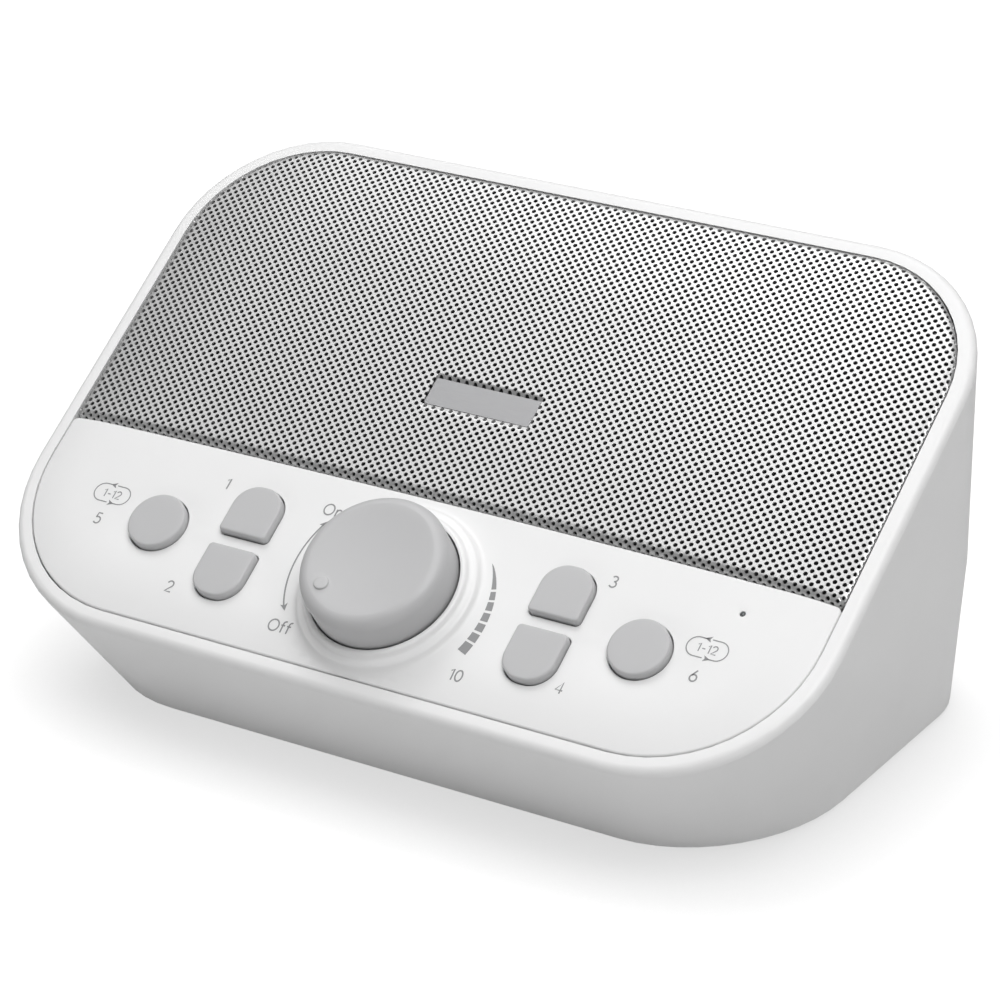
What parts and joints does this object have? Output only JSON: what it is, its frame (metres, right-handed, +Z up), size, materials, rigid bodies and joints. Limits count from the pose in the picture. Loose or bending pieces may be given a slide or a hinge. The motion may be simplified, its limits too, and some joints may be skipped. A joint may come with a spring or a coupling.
{
  "type": "sound machine",
  "caption": "Tabletop white noise sound machine: sloped face with a perforated speaker grille, a volume knob in a raised collar and press buttons.",
  "frame": {"origin": "under the middle of the whole object, on the surface that it stands on", "axes": "+X to the right seen from the front, +Y to the rear, +Z up"},
  "size_m": [0.1558, 0.0998, 0.0811],
  "materials": {
    "case_white": "moulded ABS, fine satin texture",
    "panel_white": "moulded ABS, fine satin texture with grey print",
    "knob_grey": "satin moulded ABS",
    "button_grey": "satin moulded ABS",
    "black_plastic": "matte moulded",
    "grille_metal": "fine silver-grey powder coat on perforated sheet",
    "plate_metal": "satin, left bare",
    "black_cloth": "open acoustic weave",
    "foot_rubber": "matte",
    "screw_steel": "zinc plated",
    "plated_steel": "bright plated",
    "basket_steel": "black stamped steel",
    "ferrite": "matte dark grey ferrite",
    "paper_cone": "black pulp",
    "black_foam": "soft matte",
    "spider_cloth": "treated cloth",
    "copper_coil": "enamelled winding",
    "terminal_brass": "tinned lugs on a tag board",
    "board_green": "satin solder mask",
    "header_nylon": "natural nylon",
    "led_lens": "clear epoxy",
    "clear_plastic": "clear",
    "plunger_brown": "satin",
    "capacitor_sleeve": "shrink sleeve",
    "ribbon_grey": "satin PVC",
    "lead_red": "satin PVC"
  },
  "bodies": {
    "case": {"housing": "case_white", "base_plate": "case_white", "rubber_feet": "foot_rubber", "base_screws": "screw_steel", "front_baffle": "black_plastic", "baffle_screws": "screw_steel", "control_panel": "panel_white", "grille": "grille_metal", "grille_cloth": "black_cloth", "nameplate": "plate_metal", "speaker_gasket": "black_foam", "speaker_basket": "basket_steel", "speaker_surround": "black_foam", "speaker_cone": "paper_cone", "speaker_dust_cap": "paper_cone", "speaker_voice_coil": "copper_coil", "speaker_spider": "spider_cloth", "speaker_front_plate": "plated_steel", "speaker_magnet": "ferrite", "speaker_yoke": "plated_steel", "speaker_terminals": "terminal_brass", "speaker_screws": "screw_steel", "control_board": "board_green", "control_board_screws": "screw_steel", "key_switches": "black_plastic", "control_header": "header_nylon", "status_led": "led_lens", "light_pipe": "clear_plastic", "potentiometer": "plated_steel", "main_board": "board_green", "main_board_screws": "screw_steel", "main_chips": "black_plastic", "main_capacitors": "capacitor_sleeve", "main_headers": "header_nylon", "power_inlet": "black_plastic", "audio_socket": "black_plastic", "ribbon_cable": "ribbon_grey", "speaker_leads": "lead_red"},
    "knob": {"volume_knob": "knob_grey", "potentiometer_shaft": "plated_steel"},
    "round_left_button": {"round_button_left": "button_grey", "plunger_round_left": "plunger_brown"},
    "upper_left_button": {"arch_button_upper_left": "button_grey", "plunger_upper_left": "plunger_brown"},
    "lower_left_button": {"arch_button_lower_left": "button_grey", "plunger_lower_left": "plunger_brown"},
    "upper_right_button": {"arch_button_upper_right": "button_grey", "plunger_upper_right": "plunger_brown"},
    "lower_right_button": {"arch_button_lower_right": "button_grey", "plunger_lower_right": "plunger_brown"},
    "round_right_button": {"round_button_right": "button_grey", "plunger_round_right": "plunger_brown"}
  },
  "joints": [
    {"name": "volume_turn", "type": "hinge", "parent": "case", "child": "knob", "pos_m": [0, -0.03757, 0.03773], "axis": [0, 0.5764, -0.8171], "range_deg": [0, 270]},
    {"name": "round_left_press", "type": "slide", "parent": "case", "child": "round_left_button", "axis": [0, 0.5764, -0.8171], "range_m": [0, 0.0006], "stiffness_N_per_m": 900, "springref_m": -0.0004},
    {"name": "upper_left_press", "type": "slide", "parent": "case", "child": "upper_left_button", "axis": [0, 0.5764, -0.8171], "range_m": [0, 0.0006], "stiffness_N_per_m": 900, "springref_m": -0.0004},
    {"name": "lower_left_press", "type": "slide", "parent": "case", "child": "lower_left_button", "axis": [0, 0.5764, -0.8171], "range_m": [0, 0.0006], "stiffness_N_per_m": 900, "springref_m": -0.0004},
    {"name": "upper_right_press", "type": "slide", "parent": "case", "child": "upper_right_button", "axis": [0, 0.5764, -0.8171], "range_m": [0, 0.0006], "stiffness_N_per_m": 900, "springref_m": -0.0004},
    {"name": "lower_right_press", "type": "slide", "parent": "case", "child": "lower_right_button", "axis": [0, 0.5764, -0.8171], "range_m": [0, 0.0006], "stiffness_N_per_m": 900, "springref_m": -0.0004},
    {"name": "round_right_press", "type": "slide", "parent": "case", "child": "round_right_button", "axis": [0, 0.5764, -0.8171], "range_m": [0, 0.0006], "stiffness_N_per_m": 900, "springref_m": -0.0004}
  ]
}
